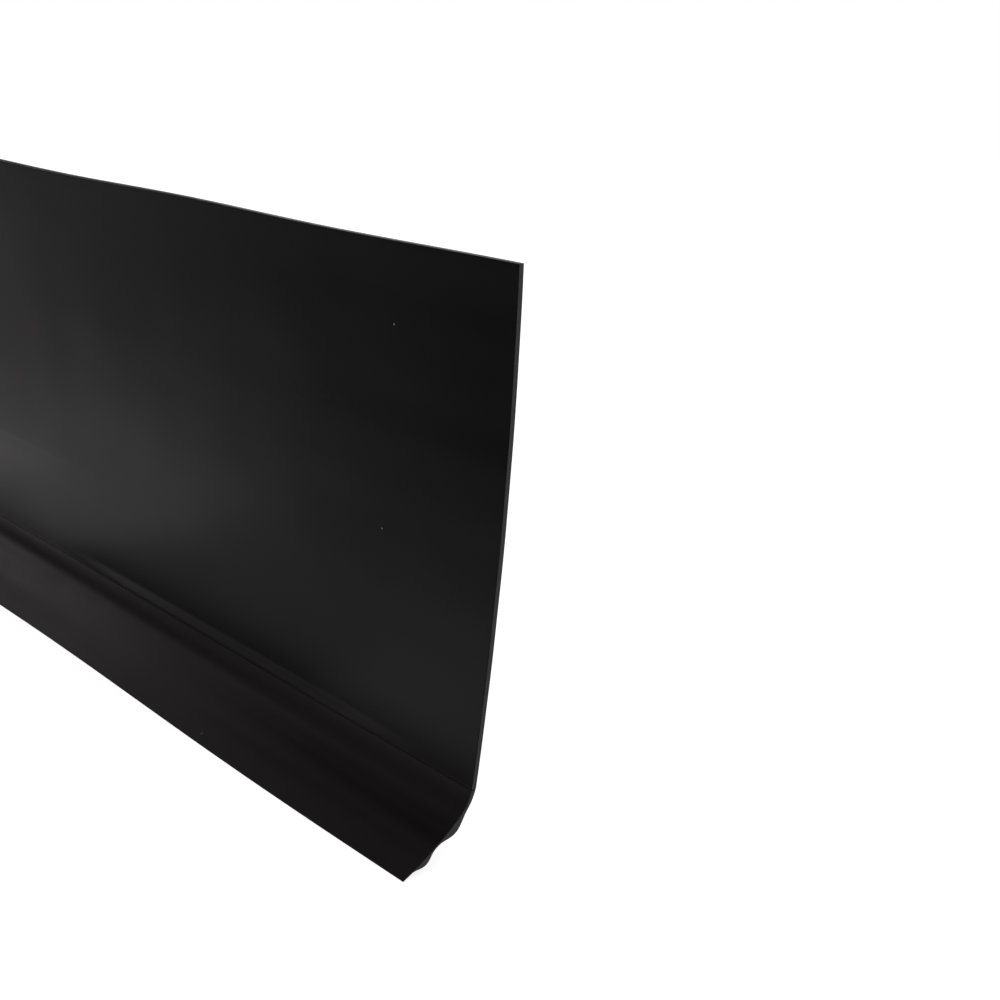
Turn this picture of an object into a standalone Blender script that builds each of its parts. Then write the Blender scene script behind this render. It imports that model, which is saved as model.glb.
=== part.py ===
"""Flexible PVC kick strip: a coved skirting profile that is bonded along the foot of a wall or door.

A bowed wall panel carries a softer toe lip on a fold line. On the panel's back are two bands of
double-sided tape, each under a release liner.

Sizes are in metres. +X runs along the strip, +Y points at the wall behind it and +Z is up. The
origin is on the floor, under the middle of the strip. A section is a list of (y, z) points.
"""

import math

import bpy

# Overall sizes
LENGTH = 0.600
HEIGHT = 0.100

# Wall panel
WALL_THICKNESS = 0.0011
WALL_BOW = 0.0014  # how far the middle stands behind the panel's top and bottom edges
WALL_FACETS = 25  # an odd number, so that the middle facet is upright
TOP_EDGE_RADIUS = 0.0004
ROUNDING_STEPS = 4

# Toe lip, which starts at the fold
FOLD_HEIGHT = 0.0133
FOLD_RADIUS = 0.0075
TOE_TOP_SLOPE = math.radians(41.5)
TOE_TIP_SLOPE = math.radians(26.5)
TOE_TIP_THICKNESS = 0.00025
TOE_TAPER_POWER = 1.6  # how fast the lip thins from the fold to the tip
FOLD_STEPS = 8
TOE_STEPS = 40

# Ribs under the toe, measured along its front face
OUTER_RIB_FROM_TIP = 0.0048
RIB_PITCH = 0.0072
INNER_RIB_WIDTH = 0.0076
INNER_RIB_HEIGHT = 0.00115
OUTER_RIB_WIDTH = 0.0058
OUTER_RIB_HEIGHT = 0.001

# Tapes and liners
TAPE_WIDTH = 0.015
TAPE_THICKNESS = 0.0005
TAPE_EDGE_MARGIN = 0.012  # from the panel's top edge, and from the fold, to the tape
TAPE_END_MARGIN = 0.002  # from each cut end to the tape
LINER_OVERHANG = 0.0015  # past each long edge of the tape, to grip it by
LINER_END_MARGIN = 0.001
LINER_THICKNESS = 0.0002

CLEARANCE = 0.0003  # between pieces that touch

# What follows from the sizes
WALL_MIDDLE = (FOLD_HEIGHT + HEIGHT) / 2
WALL_HALF_CHORD = (HEIGHT - FOLD_HEIGHT) / 2
BOW_RADIUS = (WALL_HALF_CHORD**2 + WALL_BOW**2) / (2 * WALL_BOW)
BOW_HALF_ANGLE = math.asin(WALL_HALF_CHORD / BOW_RADIUS)
TAPE_HEIGHTS = {
    "upper": HEIGHT - TAPE_EDGE_MARGIN - TAPE_WIDTH / 2,
    "lower": FOLD_HEIGHT + TAPE_EDGE_MARGIN + TAPE_WIDTH / 2,
}


def bow_point(angle, depth=0.0):
    """A point on the bowed panel, depth in front of its back face. The back's middle is at y = 0."""
    radius = BOW_RADIUS - depth
    return (radius * math.cos(angle) - BOW_RADIUS, WALL_MIDDLE + radius * math.sin(angle))


def bow_angle(height, depth=0.0):
    """The angle round the bow at which the face at that depth reaches a height."""
    return math.asin((height - WALL_MIDDLE) / (BOW_RADIUS - depth))


def arc(centre, radius, start, end, steps):
    """Points on a circular arc, both ends included."""
    turns = [start + (end - start) * i / steps for i in range(steps + 1)]
    return [(centre[0] + radius * math.cos(a), centre[1] + radius * math.sin(a)) for a in turns]


def wall_section():
    """The panel: up the back, over the rounded top edge and down the front."""
    pitch = 2 * BOW_HALF_ANGLE / WALL_FACETS
    angles = [-BOW_HALF_ANGLE + i * pitch for i in range(WALL_FACETS)]
    shoulder = HEIGHT - TOP_EDGE_RADIUS
    back_corner = bow_point(bow_angle(shoulder))[0] - TOP_EDGE_RADIUS
    front_corner = bow_point(bow_angle(shoulder, WALL_THICKNESS), WALL_THICKNESS)[0] + TOP_EDGE_RADIUS
    back = [bow_point(a) for a in angles]
    front = [bow_point(a, WALL_THICKNESS) for a in reversed(angles)]
    over_back = arc((back_corner, shoulder), TOP_EDGE_RADIUS, 0, math.pi / 2, ROUNDING_STEPS)
    over_front = arc((front_corner, shoulder), TOP_EDGE_RADIUS, math.pi / 2, math.pi, ROUNDING_STEPS)
    return back + over_back + over_front + front


def along_arc(start, slope, radius, distance):
    """The point and slope that far down an arc which turns forward. A slope is below the horizontal."""
    end = slope - distance / radius
    y = start[0] - radius * (math.sin(slope) - math.sin(end))
    z = start[1] - radius * (math.cos(end) - math.cos(slope))
    return (y, z), end


def toe_front():
    """The lip's front face, from the fold to the tip, as (distance, point, slope) at each step."""
    wall_foot = bow_point(-BOW_HALF_ANGLE, WALL_THICKNESS)
    top_slope = math.pi / 2 - BOW_HALF_ANGLE
    start = (
        wall_foot[0] - CLEARANCE * math.cos(top_slope),
        wall_foot[1] - CLEARANCE * math.sin(top_slope),
    )
    fold_length = FOLD_RADIUS * (top_slope - TOE_TOP_SLOPE)
    fold_end = along_arc(start, top_slope, FOLD_RADIUS, fold_length)[0]
    tip_height = TOE_TIP_THICKNESS * math.cos(TOE_TIP_SLOPE)
    drop = math.cos(TOE_TIP_SLOPE) - math.cos(TOE_TOP_SLOPE)
    toe_radius = (fold_end[1] - tip_height) / drop
    toe_length = toe_radius * (TOE_TOP_SLOPE - TOE_TIP_SLOPE)
    steps = []
    for i in range(FOLD_STEPS):
        distance = fold_length * i / FOLD_STEPS
        steps.append((distance, *along_arc(start, top_slope, FOLD_RADIUS, distance)))
    for i in range(TOE_STEPS + 1):
        distance = toe_length * i / TOE_STEPS
        steps.append((fold_length + distance, *along_arc(fold_end, TOE_TOP_SLOPE, toe_radius, distance)))
    return steps


def rib(distance, middle, width, height):
    """How much a rib adds to the lip's thickness: a smooth hump, width across its foot."""
    offset = abs(distance - middle) / (width / 2)
    return height * (1 + math.cos(math.pi * min(offset, 1))) / 2


def toe_section():
    """The lip: down its front face to the tip, and back up its ribbed underside."""
    front = toe_front()
    length = front[-1][0]
    outer_rib = length - OUTER_RIB_FROM_TIP
    inner_rib = outer_rib - RIB_PITCH
    underside = []
    for distance, (y, z), slope in front:
        taper = (1 - distance / length) ** TOE_TAPER_POWER
        thickness = TOE_TIP_THICKNESS + (WALL_THICKNESS - TOE_TIP_THICKNESS) * taper
        thickness += rib(distance, inner_rib, INNER_RIB_WIDTH, INNER_RIB_HEIGHT)
        thickness += rib(distance, outer_rib, OUTER_RIB_WIDTH, OUTER_RIB_HEIGHT)
        underside.append((y + thickness * math.sin(slope), z - thickness * math.cos(slope)))
    return [point for _, point, _ in front] + underside[::-1]


def hinge_point():
    """The fold's axis: the middle of the sheet, half way across the gap between panel and lip."""
    y, z = bow_point(-BOW_HALF_ANGLE, WALL_THICKNESS / 2)
    return (
        y - CLEARANCE / 2 * math.sin(BOW_HALF_ANGLE),
        z - CLEARANCE / 2 * math.cos(BOW_HALF_ANGLE),
    )


def band_section(height, width, inner, thickness):
    """A flat band behind the panel, inner off its back face at that height and parallel to it."""
    angle = bow_angle(height)
    foot_y, foot_z = bow_point(angle)
    corners = []
    for across, out in ((-1, 0), (-1, 1), (1, 1), (1, 0)):
        rise = across * width / 2
        depth = inner + out * thickness
        corners.append(
            (
                foot_y + depth * math.cos(angle) - rise * math.sin(angle),
                foot_z + depth * math.sin(angle) + rise * math.cos(angle),
            )
        )
    return corners


def middle_of(section):
    """The mean of a section's corners."""
    return tuple(sum(values) / len(section) for values in zip(*section))


def make_material(name, colour, roughness):
    """A plain non-metal finish."""
    material = bpy.data.materials.new(name)
    material.use_nodes = True
    shader = material.node_tree.nodes["Principled BSDF"]
    shader.inputs["Base Color"].default_value = (*colour, 1)
    shader.inputs["Roughness"].default_value = roughness
    shader.inputs["Metallic"].default_value = 0
    return material


def add_strip(collection, name, section, origin, length, material):
    """Extrudes a section along X, centred on the strip, with the object's origin at a (y, z) point."""
    outline = bpy.data.curves.new(name, "CURVE")
    outline.dimensions = "2D"
    outline.fill_mode = "BOTH"
    outline.extrude = length / 2
    spline = outline.splines.new("POLY")
    spline.points.add(len(section) - 1)
    for point, (y, z) in zip(spline.points, section):
        point.co = (y - origin[0], z - origin[1], 0, 1)
    spline.use_cyclic_u = True
    outline.materials.append(material)
    strip = bpy.data.objects.new(name, outline)
    # The outline is drawn in the curve's own XY plane, and this turns it to face along X.
    strip.rotation_euler = (math.pi / 2, 0, math.pi / 2)
    strip.location = (0, *origin)
    collection.objects.link(strip)
    return strip


def main():
    for leftover in list(bpy.data.objects):
        bpy.data.objects.remove(leftover, do_unlink=True)
    collection = bpy.data.collections.new("Kick strip")
    bpy.context.scene.collection.children.link(collection)

    panel_pvc = make_material("Satin black PVC", (0.011, 0.011, 0.012), 0.38)
    lip_pvc = make_material("Soft brown-black PVC", (0.014, 0.010, 0.011), 0.42)
    foam = make_material("White acrylic foam", (0.75, 0.75, 0.73), 0.7)
    paper = make_material("Glassine liner", (0.78, 0.68, 0.45), 0.5)

    tape_length = LENGTH - 2 * TAPE_END_MARGIN
    liner_length = LENGTH - 2 * LINER_END_MARGIN
    liner_width = TAPE_WIDTH + 2 * LINER_OVERHANG
    liner_inner = 2 * CLEARANCE + TAPE_THICKNESS

    strips = [
        ("wall_panel", wall_section(), (0, WALL_MIDDLE), LENGTH, panel_pvc),
        ("toe_lip", toe_section(), hinge_point(), LENGTH, lip_pvc),
    ]
    for place, height in TAPE_HEIGHTS.items():
        tape = band_section(height, TAPE_WIDTH, CLEARANCE, TAPE_THICKNESS)
        liner = band_section(height, liner_width, liner_inner, LINER_THICKNESS)
        strips.append((f"{place}_tape", tape, middle_of(tape), tape_length, foam))
        strips.append((f"{place}_release_liner", liner, middle_of(liner), liner_length, paper))

    # The parent empty centres the strip's depth on the origin.
    depths = [y for _, section, *_ in strips for y, _ in section]
    frame = bpy.data.objects.new("strip_frame", None)
    frame.location = (0, -(min(depths) + max(depths)) / 2, 0)
    collection.objects.link(frame)
    for name, section, origin, length, material in strips:
        add_strip(collection, name, section, origin, length, material).parent = frame


main()
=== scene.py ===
"""Looks for the flexible PVC kick strip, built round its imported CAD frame.

Sizes are in metres. +X runs along the strip, +Y points at the wall behind it and +Z is up. The
strip is a bowed panel with a soft toe lip along its foot, and two taped bands on its back.
"""

import logging
import math
from collections.abc import Callable, Iterable
from dataclasses import dataclass
from enum import Enum
from functools import cached_property

import bmesh
import bpy
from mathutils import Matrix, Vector


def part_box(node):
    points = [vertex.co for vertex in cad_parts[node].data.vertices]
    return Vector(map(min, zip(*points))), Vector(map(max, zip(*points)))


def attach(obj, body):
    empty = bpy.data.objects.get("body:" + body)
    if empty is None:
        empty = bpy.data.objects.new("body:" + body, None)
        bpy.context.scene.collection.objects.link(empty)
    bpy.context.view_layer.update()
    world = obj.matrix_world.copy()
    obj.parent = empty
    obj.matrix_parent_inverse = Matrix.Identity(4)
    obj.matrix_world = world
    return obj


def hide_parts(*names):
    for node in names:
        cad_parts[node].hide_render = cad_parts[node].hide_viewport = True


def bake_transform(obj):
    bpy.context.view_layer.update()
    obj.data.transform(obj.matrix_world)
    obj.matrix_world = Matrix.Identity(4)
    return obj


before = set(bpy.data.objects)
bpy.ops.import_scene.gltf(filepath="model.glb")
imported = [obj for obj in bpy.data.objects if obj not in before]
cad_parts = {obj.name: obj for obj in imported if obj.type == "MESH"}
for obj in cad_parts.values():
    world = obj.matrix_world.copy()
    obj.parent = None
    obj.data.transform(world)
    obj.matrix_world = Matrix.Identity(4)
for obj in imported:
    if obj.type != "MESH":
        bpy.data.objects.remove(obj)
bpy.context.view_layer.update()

MILLIMETRE = 0.001

# The colour sockets of a Mix node, which share their names with its other kinds
MIX_FACTOR, MIX_A, MIX_B, MIX_RESULT = 0, 6, 7, 2

NEAR = 2e-6  # metres within which two places are the same
MERGE = 1e-6  # metres within which doubles are merged
SMOOTH_BELOW = math.radians(32)  # edges that turn less than this are shaded smooth
ROUNDING_STEPS = 3
BROKEN_EDGE = 0.08 * MILLIMETRE  # the chamfer round a cut end
END_X = 0.3  # the right cut end, from which the waves along the strip are counted

Part = bmesh.types.BMVert | bmesh.types.BMEdge | bmesh.types.BMFace

log = logging.getLogger("kick_strip")


class Element(Enum):
    """What an edit-mode selection is made of."""

    VERTEX = "VERT"
    EDGE = "EDGE"
    FACE = "FACE"


class Along(Enum):
    """The axis that a Displace modifier pushes along."""

    DEPTH = "Y"
    HEIGHT = "Z"


# --- the bench: selecting and shaping with operators ------------------------------------------


def clear_selection() -> None:
    """Leaves nothing selected, the CAD nodes included."""
    bpy.ops.object.select_all(action="DESELECT")
    bpy.context.view_layer.objects.active = None


def take(piece: bpy.types.Object) -> None:
    """Makes a piece the only selected object and the active one."""
    clear_selection()
    piece.select_set(True)
    bpy.context.view_layer.objects.active = piece


def select(piece: bpy.types.Object, element: Element, test: Callable[[Part], bool]) -> int:
    """Selects the elements that pass a test, in edit mode, and nothing else.

    Args:
        piece: The mesh in edit mode.
        element: What to select.
        test: Takes the vertex, edge or face.

    Returns:
        How many elements are selected.
    """
    bpy.ops.mesh.select_mode(type=element.value)
    bpy.ops.mesh.select_all(action="DESELECT")
    shape = bmesh.from_edit_mesh(piece.data)
    pools = {Element.VERTEX: shape.verts, Element.EDGE: shape.edges, Element.FACE: shape.faces}
    chosen = [part for part in pools[element] if test(part)]
    for part in chosen:
        part.select_set(True)
    shape.select_flush_mode()
    bmesh.update_edit_mesh(piece.data)
    return len(chosen)


def is_lengthwise(edge: bmesh.types.BMEdge) -> bool:
    """Whether an edge runs along the strip."""
    return abs(edge.verts[0].co.x - edge.verts[1].co.x) > NEAR


def select_line(piece: bpy.types.Object, depth: float, height: float) -> int:
    """Selects the edges that run along X through one point of the section, in edit mode.

    Args:
        piece: The mesh in edit mode.
        depth: The line's Y.
        height: The line's Z.

    Returns:
        How many edges are selected.
    """
    return select(
        piece,
        Element.EDGE,
        lambda edge: all(
            abs(v.co.y - depth) < NEAR and abs(v.co.z - height) < NEAR for v in edge.verts
        ),
    )


def is_cut_face(face: bmesh.types.BMFace) -> bool:
    """Whether a face belongs to a cut end, which looks along X."""
    return abs(face.normal.x) > 0.9


def is_cut_outline(edge: bmesh.types.BMEdge) -> bool:
    """Whether an edge is where a cut end meets the strip's skin."""
    return sum(is_cut_face(face) for face in edge.link_faces) == 1


def apply_modifier(piece: bpy.types.Object, kind: str, **settings: object) -> None:
    """Adds a modifier to a piece and applies it.

    Args:
        piece: The object to change.
        kind: The modifier's type.
        **settings: The modifier's own settings.
    """
    take(piece)
    modifier = piece.modifiers.new(kind.title(), kind)
    for name, value in settings.items():
        setattr(modifier, name, value)
    bpy.ops.object.modifier_apply(modifier=modifier.name)


def weigh(piece: bpy.types.Object, name: str, weight: Callable[[Vector], float]) -> str:
    """Gives a piece a vertex group whose weight depends on place.

    Args:
        piece: The object.
        name: The group's name.
        weight: Takes a point, and returns 0 to 1.

    Returns:
        The group's name.
    """
    group = piece.vertex_groups.new(name=name)
    for vertex in piece.data.vertices:
        group.add([vertex.index], min(max(weight(vertex.co), 0.0), 1.0), "REPLACE")
    return group.name


def sway(
    piece: bpy.types.Object, along: Along, reach: float, shape: Callable[[Vector], float]
) -> None:
    """Pushes a piece to and fro along an axis.

    Args:
        piece: The object.
        along: The axis to push along.
        reach: How far a shape of 1 pushes, in metres.
        shape: Takes a point, and returns -1 to 1.
    """
    for side in (1, -1):
        group = weigh(piece, "sway", lambda p: side * shape(p))
        apply_modifier(
            piece,
            "DISPLACE",
            direction=along.value,
            strength=side * reach,
            mid_level=0.0,
            vertex_group=group,
        )


def crumple(
    piece: bpy.types.Object, grain: float, reach: float, shape: Callable[[Vector], float]
) -> None:
    """Makes a piece slightly uneven in depth, with a cloudy texture.

    Args:
        piece: The object.
        grain: The size of the clouds, in metres.
        reach: How far they push, in metres.
        shape: Takes a point, and returns how much of that applies, 0 to 1.
    """
    clouds = bpy.data.textures.new("unevenness", "CLOUDS")
    clouds.noise_scale = grain
    clouds.noise_depth = 1
    group = weigh(piece, "crumple", shape)
    apply_modifier(
        piece,
        "DISPLACE",
        direction=Along.DEPTH.value,
        texture=clouds,
        texture_coords="LOCAL",
        strength=reach,
        mid_level=0.5,
        vertex_group=group,
    )


def smooth_step(value: float, start: float, end: float) -> float:
    """Rises smoothly from 0 at start to 1 at end."""
    t = min(max((value - start) / (end - start), 0.0), 1.0)
    return t * t * (3 - 2 * t)


# --- the section ------------------------------------------------------------------------------


@dataclass(frozen=True)
class Bend:
    """An arc of the section that turns about a line along X, in front of the sheet."""

    depth: float
    height: float
    radius: float
    start: float
    end: float

    def point(self, angle: float) -> tuple[float, float]:
        """The (y, z) point at an angle round the bend."""
        return (
            self.depth + self.radius * math.cos(angle),
            self.height + self.radius * math.sin(angle),
        )

    def angle_of(self, place: Vector) -> float:
        """The angle round the bend of a point in space."""
        return math.atan2(place.z - self.height, place.y - self.depth)

    @property
    def length(self) -> float:
        """The length of the arc."""
        return self.radius * (self.start - self.end)


@dataclass(frozen=True)
class Section:
    """The strip's section, as the die makes it, found from the CAD boxes and the die's sizes."""

    thickness: float = 0.0011
    bow: float = 0.0014
    fold_radius: float = 0.0075
    toe_top_slope: float = math.radians(41.5)
    toe_tip_slope: float = math.radians(26.5)
    tip_thickness: float = 0.00025
    taper_power: float = 1.6
    seam_gap: float = 0.0003
    seam_turn: float = 0.09  # how far round the fold the hard panel reaches before the soft lip

    @cached_property
    def top(self) -> float:
        """The height of the panel's top edge."""
        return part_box("wall_panel")[1].z

    @cached_property
    def seam(self) -> float:
        """The height at which the panel's back ends and the lip starts."""
        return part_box("wall_panel")[0].z

    @cached_property
    def panel_front(self) -> Bend:
        """The panel's front face, from the top edge down to the seam."""
        half_chord = (self.top - self.seam) / 2
        radius = (half_chord**2 + self.bow**2) / (2 * self.bow)
        half_angle = math.asin(half_chord / radius)
        middle = (self.top + self.seam) / 2
        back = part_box("wall_panel")[1].y
        face = radius - self.thickness
        top_angle = math.asin((self.top - middle) / face)
        return Bend(back - radius, middle, face, top_angle, -half_angle)

    @cached_property
    def seam_foot(self) -> tuple[float, float]:
        """The front of the seam, where the lip's face starts, as (y, z)."""
        panel = self.panel_front
        y, z = panel.point(panel.end)
        return (
            y + self.seam_gap * math.sin(panel.end),
            z - self.seam_gap * math.cos(panel.end),
        )

    @cached_property
    def fold(self) -> Bend:
        """The tight bend at the head of the lip."""
        start = self.panel_front.end
        y, z = self.seam_foot
        return Bend(
            y - self.fold_radius * math.cos(start),
            z - self.fold_radius * math.sin(start),
            self.fold_radius,
            start,
            self.toe_top_slope - math.pi / 2,
        )

    @cached_property
    def joint_line(self) -> tuple[float, float]:
        """The front of the line where the two grades of PVC meet, as (y, z)."""
        return self.fold.point(self.fold.start - self.seam_turn)

    @cached_property
    def toe(self) -> Bend:
        """The long hollow curve from the fold down to the tip."""
        fold = self.fold
        y, z = fold.point(fold.end)
        tip_height = self.tip_thickness * math.cos(self.toe_tip_slope)
        drop = math.cos(self.toe_tip_slope) - math.cos(self.toe_top_slope)
        radius = (z - tip_height) / drop
        return Bend(
            y - radius * math.cos(fold.end),
            z - radius * math.sin(fold.end),
            radius,
            fold.end,
            self.toe_tip_slope - math.pi / 2,
        )

    def lip_distance(self, place: Vector) -> float:
        """How far down the lip's front face a point lies, from the seam's lower side."""
        fold, toe = self.fold, self.toe
        _, fold_foot = fold.point(fold.end)
        if place.z > fold_foot:
            return max(fold.radius * (fold.start - fold.angle_of(place)), 0.0)
        return fold.length + toe.radius * (toe.start - toe.angle_of(place))


@dataclass(frozen=True)
class Handling:
    """How a strip that was rolled up keeps a little of the roll: all of it under a millimetre."""

    foot_push: float = 0.0003  # how far the foot is pressed forward
    foot_rise: float = 0.0017  # how high above the seam that starts
    tip_swing: float = 0.0005
    top_dip: float = 0.00035
    press_place: float = 0.225  # X of the middle of one pressed stretch
    press_pitch: float = 0.2  # from one pressed stretch to the next
    press_full: float = 0.03  # half the length that is fully pressed
    press_none: float = 0.068  # how far from its middle a pressed stretch ends
    swing_half_wave: float = 0.085
    dip_wave: float = 0.095
    dip_from: float = 0.06  # the height above which the top edge's dip is felt
    cloud_size: float = 0.024  # of the panel's unevenness
    cloud_reach: float = 0.0003
    cloud_start: float = 0.004  # above the seam
    cloud_full: float = 0.02  # above the seam

    def pressed(self, x: float) -> float:
        """How much of the foot's push applies at a place along the strip, 0 to 1."""
        turns = (x - self.press_place) / self.press_pitch
        beat = abs((turns + 0.5) % 1.0 - 0.5) * self.press_pitch
        return 1 - smooth_step(beat, self.press_full, self.press_none)

    def swung(self, x: float) -> float:
        """How far out the tip stands at a place along the strip, -1 to 1."""
        return math.sin(math.pi * (END_X - x) / self.swing_half_wave)

    def dipped(self, x: float) -> float:
        """How far down the top edge is at a place along the strip, 0 to 1."""
        return 0.5 - 0.5 * math.cos(2 * math.pi * (END_X - x) / self.dip_wave)


def start_sheet(
    name: str, length: float, bend: Bend, step: float, columns: tuple[int, ...]
) -> bpy.types.Object:
    """Starts a sheet as a plane that is the first facet of a bend, facing the bend's middle.

    Args:
        name: The piece's name.
        length: The sheet's length along X.
        bend: The arc that the facet starts.
        step: The angle of the facet.
        columns: The cuts along X, one subdivision after another.

    Returns:
        The sheet, in edit mode.
    """
    clear_selection()
    bpy.ops.mesh.primitive_plane_add(size=1)
    sheet = bpy.context.active_object
    sheet.name = sheet.data.name = name
    middle = bend.start - step / 2
    reach = bend.radius * math.cos(step / 2)
    sheet.scale = (length, 2 * bend.radius * math.sin(step / 2), 1)
    sheet.rotation_euler = (math.pi / 2 + middle, 0, 0)
    sheet.location = (
        0,
        bend.depth + reach * math.cos(middle),
        bend.height + reach * math.sin(middle),
    )
    bpy.ops.object.transform_apply(location=True, rotation=True, scale=True)
    bpy.ops.object.mode_set(mode="EDIT")
    for cuts in columns:
        select(sheet, Element.EDGE, is_lengthwise)
        bpy.ops.mesh.subdivide(number_cuts=cuts)
    return sheet


def spin_on(sheet: bpy.types.Object, bend: Bend, start: float, end: float, steps: int) -> None:
    """Spins the sheet's lower edge on round a bend, in edit mode.

    Args:
        sheet: The sheet.
        bend: The arc to follow.
        start: The angle at which the sheet now ends.
        end: The angle to reach.
        steps: The facets to add.
    """
    select_line(sheet, *bend.point(start))
    bpy.ops.mesh.spin(
        steps=steps,
        angle=start - end,
        center=(0, bend.depth, bend.height),
        axis=(1, 0, 0),
    )


def face_forward(sheet: bpy.types.Object) -> None:
    """Merges a sheet's doubles and turns its faces to the front, in edit mode."""
    bpy.ops.mesh.select_all(action="SELECT")
    bpy.ops.mesh.remove_doubles(threshold=MERGE)
    bpy.ops.mesh.normals_make_consistent(inside=False)
    shape = bmesh.from_edit_mesh(sheet.data)
    if sum(face.normal.y * face.calc_area() for face in shape.faces) > 0:
        bpy.ops.mesh.flip_normals()


def trim(piece: bpy.types.Object, rounded: Iterable[tuple[float, float, float]]) -> None:
    """Rounds a solid strip's long edges, breaks the edges of its cut ends and marks those ends.

    Args:
        piece: The closed strip, in object mode. Its second material slot is for the cut ends.
        rounded: The (y, z) line and the radius of each long edge to round.
    """
    take(piece)
    bpy.ops.object.mode_set(mode="EDIT")
    for depth, height, radius in rounded:
        if select_line(piece, depth, height):
            bpy.ops.mesh.bevel(offset=radius, segments=ROUNDING_STEPS, affect="EDGES")
    select(piece, Element.EDGE, is_cut_outline)
    bpy.ops.mesh.bevel(offset=BROKEN_EDGE, segments=1, affect="EDGES")
    select(piece, Element.FACE, is_cut_face)
    piece.active_material_index = 1
    bpy.ops.object.material_slot_assign()
    bpy.ops.object.mode_set(mode="OBJECT")
    bpy.ops.object.shade_smooth_by_angle(angle=SMOOTH_BELOW)


# --- finishes ---------------------------------------------------------------------------------


def linear(code: str) -> tuple[float, float, float, float]:
    """Turns an sRGB hex colour into linear values.

    Args:
        code: The colour as six hex digits.

    Returns:
        Linear red, green, blue and an alpha of 1.
    """
    channels = [int(code[i : i + 2], 16) / 255 for i in (0, 2, 4)]
    values = [c / 12.92 if c <= 0.04045 else ((c + 0.055) / 1.055) ** 2.4 for c in channels]
    return (*values, 1.0)


def per_mm(size: float) -> float:
    """The pattern scale that gives a feature of about that many millimetres."""
    return 1 / (size * MILLIMETRE)


def add_node(
    material: bpy.types.Material,
    kind: str,
    inputs: dict[str | int, object] | None = None,
    **settings: object,
) -> bpy.types.Node:
    """Adds a node with its settings, its values and its links.

    Args:
        material: The material that it goes in.
        kind: The node's type.
        inputs: A value, or the socket to link from, for each input.
        **settings: The node's own settings.

    Returns:
        The node.
    """
    tree = material.node_tree
    node = tree.nodes.new(kind)
    for name, value in settings.items():
        setattr(node, name, value)
    for socket, value in (inputs or {}).items():
        if isinstance(value, bpy.types.NodeSocket):
            tree.links.new(value, node.inputs[socket])
        else:
            node.inputs[socket].default_value = value
    return node


def blank_material(name: str) -> tuple[bpy.types.Material, bpy.types.NodeSocket]:
    """Makes a material with only an output.

    Args:
        name: The finish's name.

    Returns:
        The material, and the socket its surface goes into.
    """
    material = bpy.data.materials.new(name)
    material.use_nodes = True
    material.node_tree.nodes.clear()
    output = material.node_tree.nodes.new("ShaderNodeOutputMaterial")
    return material, output.inputs["Surface"]


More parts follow.
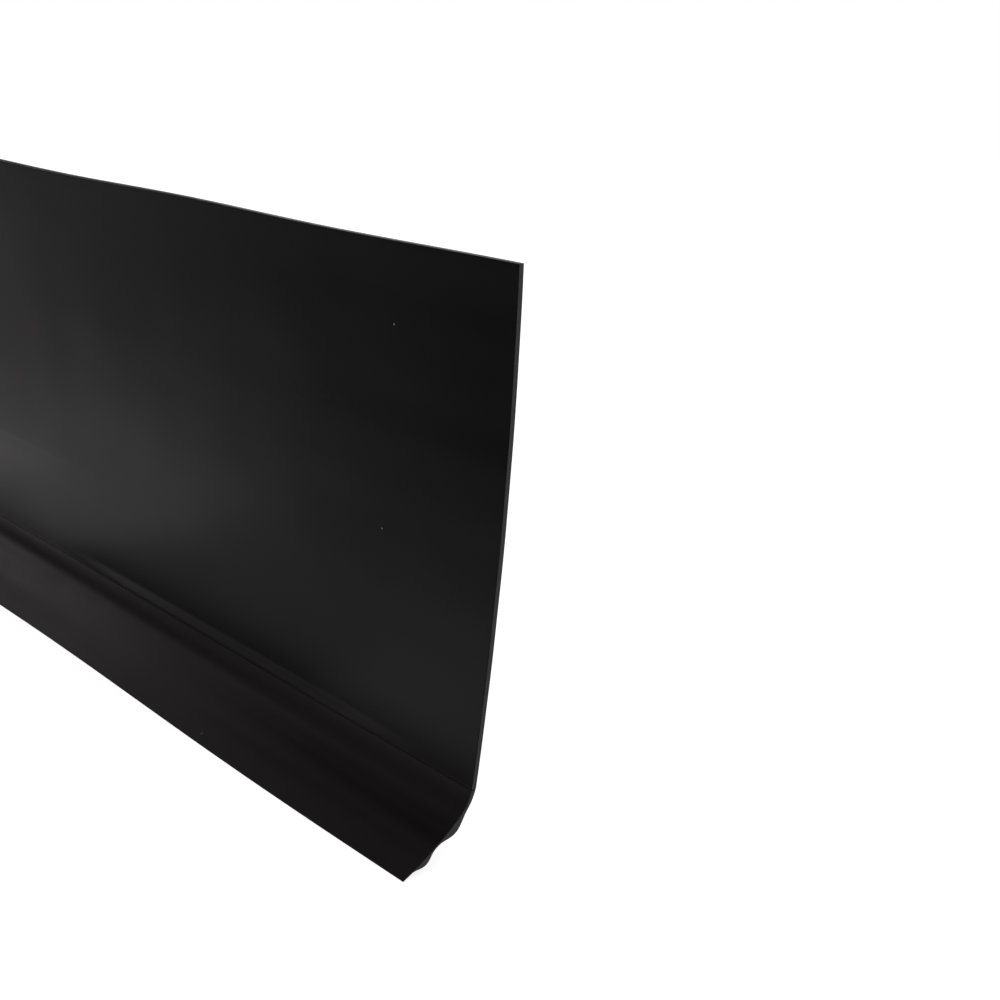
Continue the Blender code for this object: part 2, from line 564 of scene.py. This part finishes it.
@dataclass(frozen=True)
class ExtrudedPvc:
    """Black PVC as it comes out of the die: satin, with faint lines drawn along it."""

    name: str
    dark: str
    light: str
    roughness_low: float
    roughness_high: float
    line_pitch: float  # mm between die lines
    line_depth: float  # mm
    streak_pitch: float  # mm between the broad streaks that the die leaves
    ripple: float  # mm of slow unevenness
    dust: str

    def build(self) -> bpy.types.Material:
        """Makes the material."""
        material, surface = blank_material(self.name)
        place = add_node(material, "ShaderNodeTexCoord").outputs["Object"]
        # Die lines: noise drawn out along X, as long as the strip is pulled past one nick.
        drawn = add_node(
            material,
            "ShaderNodeMapping",
            {"Vector": place, "Scale": (0.004, 1.0, 1.0)},
        ).outputs["Vector"]
        lines = add_node(
            material,
            "ShaderNodeTexNoise",
            {"Vector": drawn, "Scale": per_mm(self.line_pitch), "Detail": 3.0, "Roughness": 0.6},
        ).outputs["Fac"]
        # Broad streaks, where the melt left the die a little hotter or cooler.
        pulled = add_node(
            material,
            "ShaderNodeMapping",
            {"Vector": place, "Scale": (0.03, 1.0, 1.0)},
        ).outputs["Vector"]
        streaks = add_node(
            material,
            "ShaderNodeTexNoise",
            {"Vector": pulled, "Scale": per_mm(self.streak_pitch), "Detail": 1.0},
        ).outputs["Fac"]
        # Cloudy patches where plasticiser and handling leave the gloss uneven.
        patches = add_node(
            material,
            "ShaderNodeTexNoise",
            {"Vector": place, "Scale": per_mm(38.0), "Detail": 4.0, "Roughness": 0.55},
        ).outputs["Fac"]
        # The melt's own grain, drawn coarser than it is, which softens the lights' edges.
        grain = add_node(
            material,
            "ShaderNodeTexNoise",
            {"Vector": place, "Scale": per_mm(0.7), "Detail": 2.0, "Roughness": 0.5},
        ).outputs["Fac"]
        # Dust: one speck in a few of the cells of a flat net over the face.
        upright = add_node(
            material,
            "ShaderNodeMapping",
            {"Vector": place, "Rotation": (-math.pi / 2, 0.0, 0.0)},
        ).outputs["Vector"]
        net = add_node(
            material,
            "ShaderNodeTexVoronoi",
            {"Vector": upright, "Scale": per_mm(17.0), "Randomness": 1.0},
            voronoi_dimensions="2D",
        )
        speck = add_node(
            material,
            "ShaderNodeMapRange",
            {
                "Value": net.outputs["Distance"],
                "From Min": 0.005,
                "From Max": 0.012,
                "To Min": 1.0,
                "To Max": 0.0,
            },
            interpolation_type="SMOOTHSTEP",
        ).outputs["Result"]
        pick = add_node(
            material, "ShaderNodeSeparateColor", {"Color": net.outputs["Color"]}
        ).outputs["Red"]
        kept = add_node(
            material, "ShaderNodeMath", {0: pick, 1: 0.93}, operation="GREATER_THAN"
        ).outputs["Value"]
        dusty = add_node(
            material, "ShaderNodeMath", {0: speck, 1: kept}, operation="MULTIPLY"
        ).outputs["Value"]
        # The streaks carry the colour between its dark and light ends, and dust lies over both.
        tint = add_node(
            material,
            "ShaderNodeMapRange",
            {"Value": streaks, "From Min": 0.3, "From Max": 0.7},
        ).outputs["Result"]
        streaky = add_node(
            material,
            "ShaderNodeMix",
            {MIX_FACTOR: tint, MIX_A: linear(self.dark), MIX_B: linear(self.light)},
            data_type="RGBA",
        ).outputs[MIX_RESULT]
        dusted = add_node(
            material,
            "ShaderNodeMix",
            {MIX_FACTOR: dusty, MIX_A: streaky, MIX_B: linear(self.dust)},
            data_type="RGBA",
        ).outputs[MIX_RESULT]
        # The gloss varies with the lines, the patches and the streaks together.
        lined = add_node(
            material,
            "ShaderNodeMath",
            {0: lines, 1: 0.35, 2: patches},
            operation="MULTIPLY_ADD",
        ).outputs["Value"]
        dullness = add_node(
            material,
            "ShaderNodeMath",
            {0: streaks, 1: 0.8, 2: lined},
            operation="MULTIPLY_ADD",
        ).outputs["Value"]
        roughness = add_node(
            material,
            "ShaderNodeMapRange",
            {
                "Value": dullness,
                "From Min": 0.75,
                "From Max": 1.4,
                "To Min": self.roughness_low,
                "To Max": self.roughness_high,
            },
        ).outputs["Result"]
        ripple = add_node(
            material,
            "ShaderNodeBump",
            {"Height": patches, "Distance": self.ripple * MILLIMETRE, "Strength": 1.0},
        ).outputs["Normal"]
        drawn_bump = add_node(
            material,
            "ShaderNodeBump",
            {
                "Height": lines,
                "Distance": self.line_depth * MILLIMETRE,
                "Strength": 1.0,
                "Normal": ripple,
            },
        ).outputs["Normal"]
        bump = add_node(
            material,
            "ShaderNodeBump",
            {
                "Height": grain,
                "Distance": 0.004 * MILLIMETRE,
                "Strength": 1.0,
                "Normal": drawn_bump,
            },
        ).outputs["Normal"]
        shader = add_node(
            material,
            "ShaderNodeBsdfPrincipled",
            {
                "Base Color": dusted,
                "Roughness": roughness,
                "IOR": 1.53,
                "Normal": bump,
            },
        )
        material.node_tree.links.new(shader.outputs["BSDF"], surface)
        return material


# The panel's hard grade: a near-neutral black, whose satin gloss gives soft, wide lights.
WALL_PVC = ExtrudedPvc(
    name="extruded_black_pvc",
    dark="0B0A0B",
    light="100F10",
    roughness_low=0.27,
    roughness_high=0.34,
    line_pitch=0.9,
    line_depth=0.0006,
    streak_pitch=11.0,
    ripple=0.02,
    dust="6A6866",
)
# The lip's soft grade: duller and browner than the panel, with closer streaks along it.
LIP_PVC = ExtrudedPvc(
    name="soft_brown_black_pvc",
    dark="0F0A0C",
    light="191114",
    roughness_low=0.32,
    roughness_high=0.48,
    line_pitch=1.6,
    line_depth=0.0012,
    streak_pitch=3.6,
    ripple=0.02,
    dust="504A48",
)


@dataclass(frozen=True)
class CutPvc:
    """PVC that a blade went through: paler than the skin, matt, with the blade's marks."""

    name: str
    dark: str
    light: str

    def build(self) -> bpy.types.Material:
        """Makes the material."""
        material, surface = blank_material(self.name)
        place = add_node(material, "ShaderNodeTexCoord").outputs["Object"]
        # The blade drags down the section, so its marks are long in Z.
        dragged = add_node(
            material, "ShaderNodeMapping", {"Vector": place, "Scale": (1.0, 1.0, 0.25)}
        ).outputs["Vector"]
        marks = add_node(
            material,
            "ShaderNodeTexNoise",
            {"Vector": dragged, "Scale": per_mm(0.35), "Detail": 3.0, "Roughness": 0.6},
        ).outputs["Fac"]
        colour = add_node(
            material,
            "ShaderNodeMix",
            {MIX_FACTOR: marks, MIX_A: linear(self.dark), MIX_B: linear(self.light)},
            data_type="RGBA",
        ).outputs[MIX_RESULT]
        bump = add_node(
            material,
            "ShaderNodeBump",
            {"Height": marks, "Distance": 0.03 * MILLIMETRE, "Strength": 1.0},
        ).outputs["Normal"]
        shader = add_node(
            material,
            "ShaderNodeBsdfPrincipled",
            {"Base Color": colour, "Roughness": 0.62, "IOR": 1.53, "Normal": bump},
        )
        material.node_tree.links.new(shader.outputs["BSDF"], surface)
        return material


@dataclass(frozen=True)
class FoamTape:
    """Closed-cell foam with acrylic adhesive: white, with fine cells at its cut edges."""

    name: str
    cell: str
    wall: str

    def build(self) -> bpy.types.Material:
        """Makes the material."""
        material, surface = blank_material(self.name)
        place = add_node(material, "ShaderNodeTexCoord").outputs["Object"]
        # The foam's cells, which show as a fine pitting.
        cells = add_node(
            material, "ShaderNodeTexVoronoi", {"Vector": place, "Scale": per_mm(0.3)}
        ).outputs["Distance"]
        smears = add_node(
            material,
            "ShaderNodeTexNoise",
            {"Vector": place, "Scale": per_mm(9.0), "Detail": 4.0, "Roughness": 0.6},
        ).outputs["Fac"]
        colour = add_node(
            material,
            "ShaderNodeMix",
            {MIX_FACTOR: cells, MIX_A: linear(self.cell), MIX_B: linear(self.wall)},
            data_type="RGBA",
        ).outputs[MIX_RESULT]
        # Adhesive gives the face a wet look where it lies thick.
        roughness = add_node(
            material,
            "ShaderNodeMapRange",
            {"Value": smears, "From Min": 0.3, "From Max": 0.7, "To Min": 0.32, "To Max": 0.6},
        ).outputs["Result"]
        bump = add_node(
            material,
            "ShaderNodeBump",
            {"Height": cells, "Distance": 0.04 * MILLIMETRE, "Strength": 0.7},
        ).outputs["Normal"]
        shader = add_node(
            material,
            "ShaderNodeBsdfPrincipled",
            {"Base Color": colour, "Roughness": roughness, "IOR": 1.47, "Normal": bump},
        )
        material.node_tree.links.new(shader.outputs["BSDF"], surface)
        return material


@dataclass(frozen=True)
class Glassine:
    """Release paper: dense, calendered smooth and siliconed, with the fibre clouds of paper."""

    name: str
    pale: str
    deep: str

    def build(self) -> bpy.types.Material:
        """Makes the material."""
        material, surface = blank_material(self.name)
        place = add_node(material, "ShaderNodeTexCoord").outputs["Object"]
        # The fibres' clouds, as seen against the light in thin dense paper.
        formation = add_node(
            material,
            "ShaderNodeTexNoise",
            {"Vector": place, "Scale": per_mm(3.5), "Detail": 6.0, "Roughness": 0.65},
        ).outputs["Fac"]
        # Faint creases across the paper, from the roll it came off.
        rolled = add_node(
            material, "ShaderNodeMapping", {"Vector": place, "Scale": (1.0, 1.0, 0.12)}
        ).outputs["Vector"]
        creases = add_node(
            material,
            "ShaderNodeTexNoise",
            {"Vector": rolled, "Scale": per_mm(7.0), "Detail": 2.0, "Roughness": 0.5},
        ).outputs["Fac"]
        colour = add_node(
            material,
            "ShaderNodeMix",
            {MIX_FACTOR: formation, MIX_A: linear(self.pale), MIX_B: linear(self.deep)},
            data_type="RGBA",
        ).outputs[MIX_RESULT]
        roughness = add_node(
            material,
            "ShaderNodeMapRange",
            {"Value": formation, "From Min": 0.3, "From Max": 0.7, "To Min": 0.3, "To Max": 0.42},
        ).outputs["Result"]
        creased = add_node(
            material,
            "ShaderNodeBump",
            {"Height": creases, "Distance": 0.25 * MILLIMETRE, "Strength": 0.6},
        ).outputs["Normal"]
        bump = add_node(
            material,
            "ShaderNodeBump",
            {"Height": formation, "Distance": 0.02 * MILLIMETRE, "Normal": creased},
        ).outputs["Normal"]
        shader = add_node(
            material,
            "ShaderNodeBsdfPrincipled",
            {"Base Color": colour, "Roughness": roughness, "IOR": 1.5, "Normal": bump},
        )
        material.node_tree.links.new(shader.outputs["BSDF"], surface)
        return material


# A cut end shows as a thin grey line beside the black skin, because the blade leaves it matt.
CUT_PVC = CutPvc("knife_cut_black_pvc", "242424", "3A3A3C")
# The tape is the only white on the strip, and shows once a liner is off.
FOAM_TAPE = FoamTape("white_foam_tape", "D9D8D2", "EFEEE8")
# The liners give the back two honey-coloured stripes with a slight sheen.
GLASSINE = Glassine("glassine_release_paper", "E9DDB4", "DCCB98")


# --- sub-assemblies ---------------------------------------------------------------------------


@dataclass
class WallPanel:
    """The bowed panel, spun down from its top edge, with its rounded edges."""

    section: Section
    handling: Handling
    length: float = 0.6
    columns: tuple[int, ...] = (11, 11)
    upper_steps: int = 24
    foot_steps: int = 40
    turn_steps: int = 4  # round the head of the fold
    foot_height: float = 0.026  # below this the facets are finer
    top_rounding: float = 0.0004
    top_margin: float = 0.0006  # from the top edge to the row that holds its rounding
    seam_rounding: float = 0.00006

    def build(self) -> bpy.types.Object:
        """Models the panel."""
        bend, fold = self.section.panel_front, self.section.fold
        foot = math.asin((self.foot_height - bend.height) / bend.radius)
        step = (bend.start - foot) / self.upper_steps
        sheet = start_sheet("wall_skin", self.length, bend, step, self.columns)
        spin_on(sheet, bend, bend.start - step, foot, self.upper_steps - 1)
        land_end = bend.end - self.section.seam_gap / bend.radius
        spin_on(sheet, bend, foot, land_end, self.foot_steps)
        spin_on(sheet, fold, fold.start, fold.start - self.section.seam_turn, self.turn_steps)
        face_forward(sheet)
        # A row close under the top edge keeps its rounding from shading the whole first facet.
        bpy.ops.mesh.select_all(action="SELECT")
        row = (0, 0, self.section.top - self.top_margin)
        bpy.ops.mesh.bisect(plane_co=row, plane_no=(0, 0, 1))
        bpy.ops.object.mode_set(mode="OBJECT")
        thickness = self.section.thickness
        apply_modifier(sheet, "SOLIDIFY", thickness=thickness, offset=-1)
        for finish in (WALL_PVC, CUT_PVC):
            sheet.data.materials.append(finish.build())
        top_y, top_z = bend.point(bend.start)
        out_y, out_z = math.cos(bend.start), math.sin(bend.start)
        trim(
            sheet,
            (
                (top_y, top_z, self.top_rounding),
                (top_y + thickness * out_y, top_z + thickness * out_z, self.top_rounding),
                (*self.section.joint_line, self.seam_rounding),
            ),
        )
        self.unroll(sheet)
        return sheet

    def unroll(self, sheet: bpy.types.Object) -> None:
        """Leaves the panel with the slight waves that the roll gave it."""
        handling, seam, top = self.handling, self.section.seam, self.section.top
        rise = seam + handling.foot_rise
        below_seam = seam - 2 * self.section.seam_gap
        sway(
            sheet,
            Along.DEPTH,
            -handling.foot_push,
            lambda p: handling.pressed(p.x) * (1 - smooth_step(p.z, below_seam, rise)),
        )
        sway(
            sheet,
            Along.HEIGHT,
            -handling.top_dip,
            lambda p: handling.dipped(p.x) * smooth_step(p.z, handling.dip_from, top),
        )
        crumple(
            sheet,
            handling.cloud_size,
            handling.cloud_reach,
            lambda p: smooth_step(p.z, seam + handling.cloud_start, seam + handling.cloud_full),
        )

    def dress(self, skin: bpy.types.Object) -> None:
        """Gives the panel its place in the model."""
        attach(skin, "panel")
        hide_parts("wall_panel")


@dataclass
class ToeLip:
    """The soft lip, spun from the seam through the fold to the tip, with ribs underneath."""

    section: Section
    handling: Handling
    length: float = 0.6
    columns: tuple[int, ...] = (11, 11)
    fold_steps: int = 10
    toe_steps: int = 48
    rib_pitch: float = 0.0072
    outer_rib_from_tip: float = 0.0048
    inner_rib: tuple[float, float] = (0.0076, 0.00115)  # width and height
    outer_rib: tuple[float, float] = (0.0058, 0.001)
    seam_rounding: float = 0.00006

    @property
    def face_length(self) -> float:
        """The length of the lip's front face."""
        return self.section.fold.length + self.section.toe.length

    def thickness_at(self, place: Vector) -> float:
        """How thick the lip is behind a point of its front face."""
        distance = self.section.lip_distance(place)
        section, length = self.section, self.face_length
        taper = max(1 - distance / length, 0.0) ** section.taper_power
        total = section.tip_thickness + (section.thickness - section.tip_thickness) * taper
        outer_middle = length - self.outer_rib_from_tip
        ribs = ((outer_middle - self.rib_pitch, *self.inner_rib), (outer_middle, *self.outer_rib))
        for middle, width, height in ribs:
            offset = min(abs(distance - middle) / (width / 2), 1.0)
            total += height * (1 + math.cos(math.pi * offset)) / 2
        return total

    def build(self) -> bpy.types.Object:
        """Models the lip."""
        fold, toe = self.section.fold, self.section.toe
        head = Bend(
            fold.depth, fold.height, fold.radius, fold.start - self.section.seam_turn, fold.end
        )
        step = (head.start - head.end) / self.fold_steps
        sheet = start_sheet("lip_skin", self.length, head, step, self.columns)
        spin_on(sheet, head, head.start - step, head.end, self.fold_steps - 1)
        spin_on(sheet, toe, toe.start, toe.end, self.toe_steps)
        face_forward(sheet)
        bpy.ops.object.mode_set(mode="OBJECT")
        thickest = max(self.thickness_at(v.co) for v in sheet.data.vertices)
        group = weigh(sheet, "thickness", lambda p: self.thickness_at(p) / thickest)
        apply_modifier(sheet, "SOLIDIFY", thickness=thickest, offset=-1, vertex_group=group)
        for finish in (LIP_PVC, CUT_PVC):
            sheet.data.materials.append(finish.build())
        trim(sheet, ((*self.section.joint_line, self.seam_rounding),))
        self.unroll(sheet)
        return sheet

    def unroll(self, sheet: bpy.types.Object) -> None:
        """Leaves the lip with the slight waves that the roll gave it."""
        handling, fold_foot = self.handling, self.section.fold.point(self.section.fold.end)[1]
        sway(
            sheet,
            Along.DEPTH,
            -handling.foot_push,
            lambda p: handling.pressed(p.x) * smooth_step(p.z, 0.0, fold_foot),
        )
        sway(
            sheet,
            Along.DEPTH,
            -handling.tip_swing,
            lambda p: handling.swung(p.x) * (1 - smooth_step(p.z, 0.0, fold_foot)),
        )

    def dress(self, skin: bpy.types.Object) -> None:
        """Bakes the lip's transform into its mesh and hides the CAD lip."""
        seam_y, seam_z = self.section.joint_line
        fold_y, fold_z = self.section.fold.point(self.section.fold.end)
        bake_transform(skin)
        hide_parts("toe_lip")


class Band(Enum):
    """The two taped bands behind the panel."""

    UPPER = "upper"
    LOWER = "lower"


@dataclass
class BackBand:
    """A flat band behind the panel: a plane at its outer face, thickened towards the panel."""

    section: Section
    band: Band
    columns: tuple[int, ...] = (9, 9)
    rows: int = 7
    tape_thickness: float = 0.00088  # fills the CAD's clearance from the panel's bowed back
    liner_thickness: float = 0.00012
    liner_sink: float = 0.00038  # the CAD's clearance and the rest of its liner's thickness
    edge_free: float = 0.82  # the share of the liner's half width that lies flat
    edge_wave: float = 0.0003
    edge_turn: float = 71.0  # radians of the edge's wave to a metre along the strip
    band_turn: float = 90.0  # radians to a metre of height, so that the two bands differ
    corner_lift: float = 0.0016
    corner_slant: float = 0.35
    corner_start: float = 0.284  # from the strip's middle
    corner_end: float = 0.303

    def lay(self, name: str, node: str, thickness: float, sink: float) -> bpy.types.Object:
        """Models the band in place of a CAD node.

        Args:
            name: The piece's name.
            node: The CAD node that says where it goes.
            thickness: How thick the band is.
            sink: How far inside the node's outer face the band's own face lies.

        Returns:
            The closed band.
        """
        low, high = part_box(node)
        bend = self.section.panel_front
        back_radius = bend.radius + self.section.thickness
        tilt = math.asin(((low.z + high.z) / 2 - bend.height) / back_radius)
        rise, run = math.sin(abs(tilt)), math.cos(tilt)
        # The node is a tilted slab, and these two solve its box for its sides.
        deep, tall = high.y - low.y, high.z - low.z
        width = (tall * run - deep * rise) / (run * run - rise * rise)
        slab = (deep * run - tall * rise) / (run * run - rise * rise)
        out = slab / 2 - sink
        clear_selection()
        bpy.ops.mesh.primitive_plane_add(size=1)
        strip = bpy.context.active_object
        strip.name = strip.data.name = name
        strip.scale = (high.x - low.x, width, 1)
        strip.rotation_euler = (-math.pi / 2 + tilt, 0, 0)
        strip.location = (
            0,
            (low.y + high.y) / 2 + out * math.cos(tilt),
            (low.z + high.z) / 2 + out * math.sin(tilt),
        )
        bpy.ops.object.transform_apply(location=True, rotation=True, scale=True)
        bpy.ops.object.mode_set(mode="EDIT")
        for cuts in self.columns:
            select(strip, Element.EDGE, is_lengthwise)
            bpy.ops.mesh.subdivide(number_cuts=cuts)
        select(strip, Element.EDGE, lambda edge: not is_lengthwise(edge))
        bpy.ops.mesh.subdivide(number_cuts=self.rows)
        bpy.ops.object.mode_set(mode="OBJECT")
        apply_modifier(strip, "SOLIDIFY", thickness=thickness, offset=-1)
        return strip

    def build_tape(self) -> bpy.types.Object:
        """Models the tape, which fills the space from the panel to the liner."""
        node = f"{self.band.value}_tape"
        tape = self.lay(f"{self.band.value}_foam_tape", node, self.tape_thickness, 0.0)
        tape.data.materials.append(FOAM_TAPE.build())
        take(tape)
        bpy.ops.object.shade_smooth_by_angle(angle=SMOOTH_BELOW)
        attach(tape, "panel")
        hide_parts(node)
        return tape

    def build_liner(self) -> bpy.types.Object:
        """Models the release liner, lying on the tape with its long edges a little loose."""
        node = f"{self.band.value}_release_liner"
        # Its outer face lies no more than a paper's thickness behind the tape.
        name = f"{self.band.value}_liner_sheet"
        liner = self.lay(name, node, self.liner_thickness, self.liner_sink)
        low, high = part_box(node)
        middle, half = (low.z + high.z) / 2, (high.z - low.z) / 2

        def loose_edge(place: Vector) -> float:
            """How far the long edges stand off the tape, -1 to 1."""
            free = smooth_step(abs(place.z - middle), half * self.edge_free, half)
            return free * math.sin(place.x * self.edge_turn + middle * self.band_turn)

        def lifted_corner(place: Vector) -> float:
            """How far the corner to peel from is lifted, 0 to 1."""
            reach = -place.x + self.corner_slant * (place.z - middle)
            return smooth_step(reach, self.corner_start, self.corner_end)

        sway(liner, Along.DEPTH, self.edge_wave, loose_edge)
        sway(liner, Along.DEPTH, self.corner_lift, lifted_corner)
        liner.data.materials.append(GLASSINE.build())
        take(liner)
        bpy.ops.object.shade_smooth_by_angle(angle=SMOOTH_BELOW)
        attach(liner, f"{self.band.value}_liner")
        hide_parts(node)
        return liner


# --- the studio -------------------------------------------------------------------------------


WHITE = (1.0, 1.0, 1.0)
WARM = (1.0, 0.955, 0.975)
CARD_HEIGHT = 0.003  # how far a lit card lies above the floor


@dataclass(frozen=True)
class SoftBox:
    """A rectangular lamp that lights one way and can't be seen itself."""

    name: str
    place: tuple[float, float, float]
    aim: tuple[float, float, float]
    size: tuple[float, float]
    radiance: float
    colour: tuple[float, float, float] = WHITE

    def build(self) -> bpy.types.Object:
        """Puts the lamp up. Its power comes from how bright its face is."""
        width, height = self.size
        lamp = bpy.data.lights.new(self.name, "AREA")
        lamp.shape = "RECTANGLE"
        lamp.size, lamp.size_y = width, height
        lamp.color = self.colour
        lamp.energy = self.radiance * math.pi * width * height
        stand = bpy.data.objects.new(self.name, lamp)
        stand.location = self.place
        towards = Vector(self.aim) - Vector(self.place)
        stand.rotation_euler = towards.to_track_quat("-Z", "Y").to_euler()
        stand.visible_camera = False
        bpy.context.scene.collection.objects.link(stand)
        return stand


def floor_card(
    name: str,
    middle: tuple[float, float],
    size: tuple[float, float],
    radiance: float,
    colour: tuple[float, float, float] = WHITE,
) -> SoftBox:
    """Lays a lit card on the floor, facing up, so that the gloss of the strip mirrors it.

    Args:
        name: The card's name.
        middle: Its X and Y.
        size: Its sides along X and Y.
        radiance: How bright its face is.
        colour: Its colour.

    Returns:
        The card, as a lamp that isn't built yet.
    """
    x, y = middle
    return SoftBox(name, (x, y, CARD_HEIGHT), (x, y, 1.0), size, radiance, colour)


@dataclass(frozen=True)
class Studio:
    """A plain pale floor, soft lamps and the camera."""

    floor_size: float = 40.0
    floor_glow: float = 0.8
    floor_grey: float = 0.32
    camera_place: tuple[float, float, float] = (0.4475, -0.14415, 0.12295)
    camera_turn: tuple[float, float, float] = (74.02, -4.973, 45.99)  # degrees
    lens: float = 50.0
    sensor: float = 36.0
    # In front of the strip a bare stretch next to the toe leaves the crease its dark line.
    cards: tuple[SoftBox, ...] = (
        floor_card("near_card", (-0.065, -0.056), (0.38, 0.088), 0.24, WARM),
        floor_card("hot_card", (-0.005, -0.034), (0.11, 0.037), 0.19, WARM),
        floor_card("long_card", (0.15, -0.054), (0.28, 0.063), 0.19),
        floor_card("outer_card", (0.15, -0.114), (0.28, 0.056), 0.07),
        floor_card("end_card", (0.262, -0.025), (0.07, 0.022), 0.1),
        floor_card("wide_card", (-0.295, -0.11), (0.65, 0.18), 0.16, WARM),
        floor_card("far_card", (-0.65, -0.24), (0.75, 0.26), 0.2, WARM),
        floor_card("rear_card", (0.0, 0.17), (0.9, 0.2), 0.1),
    )
    boxes: tuple[SoftBox, ...] = (
        SoftBox("left_box", (-1.05, -0.18, 0.52), (0.2, 0.0, 0.05), (0.5, 0.42), 0.82, WARM),
        SoftBox("low_left_box", (-1.1, -0.62, 0.13), (0.1, 0.0, 0.01), (0.8, 0.2), 0.15, WARM),
        SoftBox("high_left_box", (-0.72, 0.05, 0.85), (0.25, 0.0, 0.0), (0.35, 0.3), 0.28, WARM),
        SoftBox("rear_left_box", (-0.8, 0.6, 0.75), (0.1, 0.0, 0.08), (0.6, 0.5), 1.2),
        SoftBox("rear_right_box", (0.85, 0.95, 0.42), (0.0, 0.0, 0.05), (0.5, 0.5), 0.45),
        SoftBox("top_box", (0.2, 0.6, 1.4), (0.0, 0.0, 0.0), (1.0, 1.0), 0.6),
    )

    def build(self) -> None:
        """Sets the floor, the surroundings, the lamps and the camera."""
        self.lay_floor()
        self.light_room()
        for lamp in self.cards + self.boxes:
            lamp.build()
        self.place_camera()
        # Plain view, so that the pale floor stays white and the black stays black.
        bpy.context.scene.view_settings.view_transform = "Standard"

    def lay_floor(self) -> None:
        """Lays the floor, which gives light but doesn't show in the gloss."""
        clear_selection()
        bpy.ops.mesh.primitive_plane_add(size=self.floor_size)
        floor = bpy.context.active_object
        floor.name = "floor"
        material, surface = blank_material("pale_studio_floor")
        glow = add_node(
            material, "ShaderNodeEmission", {"Color": (*WHITE, 1), "Strength": self.floor_glow}
        )
        grey = (self.floor_grey, self.floor_grey, self.floor_grey, 1)
        matt = add_node(material, "ShaderNodeBsdfDiffuse", {"Color": grey})
        both = add_node(
            material,
            "ShaderNodeAddShader",
            {0: glow.outputs["Emission"], 1: matt.outputs["BSDF"]},
        )
        material.node_tree.links.new(both.outputs["Shader"], surface)
        floor.data.materials.append(material)
        floor.visible_glossy = False

    def light_room(self) -> None:
        """Makes the surroundings white, and keeps them out of the gloss."""
        world = bpy.data.worlds.new("white_room")
        bpy.context.scene.world = world
        world.use_nodes = True
        background = world.node_tree.nodes["Background"]
        background.inputs["Color"].default_value = (*WHITE, 1)
        background.inputs["Strength"].default_value = 1.0
        world.cycles_visibility.glossy = False

    def place_camera(self) -> None:
        """Sets the camera beyond the right cut end, looking back along the strip."""
        camera = bpy.data.cameras.new("camera")
        camera.lens = self.lens
        camera.sensor_width = self.sensor
        camera.clip_start = 0.01
        stand = bpy.data.objects.new("camera", camera)
        stand.location = self.camera_place
        stand.rotation_euler = [math.radians(turn) for turn in self.camera_turn]
        bpy.context.scene.collection.objects.link(stand)
        bpy.context.scene.camera = stand


def main() -> None:
    """Builds the strip in order and reports each piece."""
    logging.basicConfig(level=logging.INFO, format="%(name)s: %(message)s")
    section, handling = Section(), Handling()
    Studio().build()
    pieces = []
    for assembly in (WallPanel(section, handling), ToeLip(section, handling)):
        pieces.append(assembly.build())
        assembly.dress(pieces[-1])
    for band in Band:
        backing = BackBand(section, band)
        pieces += [backing.build_tape(), backing.build_liner()]
    for piece in pieces:
        log.info("%s: %d faces", piece.name, len(piece.data.polygons))


if __name__ == "__main__":
    main()
